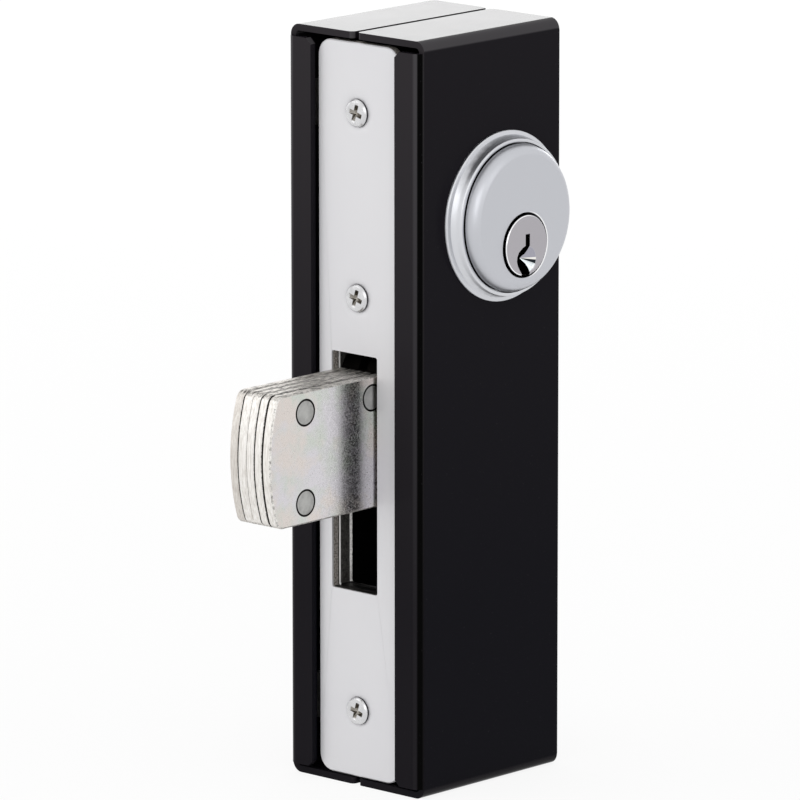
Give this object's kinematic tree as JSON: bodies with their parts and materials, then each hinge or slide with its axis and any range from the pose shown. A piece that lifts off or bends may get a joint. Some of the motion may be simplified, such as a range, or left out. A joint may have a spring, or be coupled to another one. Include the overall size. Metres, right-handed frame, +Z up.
{
  "type": "mortise deadlock in a weld-on lock box",
  "caption": "Narrow mortise deadlock in a black sheet-metal weld-on box, with a key cylinder in one side and a laminated bolt that swings out through a slotted faceplate.",
  "frame": {"origin": "centre of the box's flat back face", "axes": "+Z up along the box, -Y towards the faceplate and the side the bolt swings out of, +X towards the key cylinder"},
  "size_m": [0.0495, 0.0834, 0.179],
  "materials": {
    "black_paint": "gloss",
    "satin_plate": "satin",
    "dark_steel": "satin",
    "tab_steel": "matte",
    "case_steel": "satin",
    "screw_steel": "gloss",
    "pin_steel": "satin",
    "lever_steel": "satin",
    "spring_steel": "satin",
    "zinc_steel": "gloss",
    "satin_chrome": "satin",
    "plug_chrome": "satin",
    "brass": "satin"
  },
  "bodies": {
    "lock_box": {"box_shell": "black_paint", "upper_weld_tab": "tab_steel", "lower_weld_tab": "tab_steel", "faceplate": "satin_plate", "armour_plate": "dark_steel", "upper_mount_screw": "screw_steel", "lower_mount_screw": "screw_steel", "centre_screw": "screw_steel", "armour_screws": "screw_steel", "case_body": "case_steel", "case_cover": "case_steel", "cover_screws": "screw_steel", "bolt_pivot_pin": "pin_steel", "lever_pivot_pin": "pin_steel", "lever_spacers": "brass", "leaf_spring": "spring_steel", "leaf_spring_rivets": "pin_steel", "cylinder_shell": "satin_chrome", "cylinder_set_screw": "screw_steel", "chamber_cap": "brass", "driver_pins": "brass", "pin_springs": "spring_steel", "collar_ring": "satin_chrome", "collar_spring_washer": "spring_steel"},
    "bolt": {"bolt_plate_1": "zinc_steel", "bolt_plate_2": "zinc_steel", "bolt_plate_3": "zinc_steel", "bolt_plate_4": "zinc_steel", "bolt_plate_5": "zinc_steel", "bolt_rivets": "zinc_steel", "bolt_core": "pin_steel"},
    "lever": {"lever_plate": "lever_steel", "lever_drive_pin": "pin_steel"},
    "plug": {"cylinder_plug": "plug_chrome", "key_pins": "brass", "cam": "lever_steel", "cam_screws": "screw_steel"}
  },
  "joints": [
    {"name": "bolt_swing", "type": "hinge", "parent": "lock_box", "child": "bolt", "pos_m": [-0.00135, -0.0395, 0.00753], "axis": [1, 0, 0], "range_deg": [0, 90]},
    {"name": "lever_swing", "type": "hinge", "parent": "lock_box", "child": "lever", "pos_m": [-0.00135, -0.0212, 0.00803], "axis": [1, 0, 0], "range_deg": [-45, 0]},
    {"name": "plug_turn", "type": "hinge", "parent": "lock_box", "child": "plug", "pos_m": [0, -0.0212, 0.03938], "axis": [1, 0, 0], "range_deg": [0, 360]}
  ],
  "couplings": [
    {"joint": "lever_swing", "follows": "bolt_swing", "ratio": -0.5},
    {"joint": "plug_turn", "follows": "bolt_swing", "ratio": 4}
  ]
}
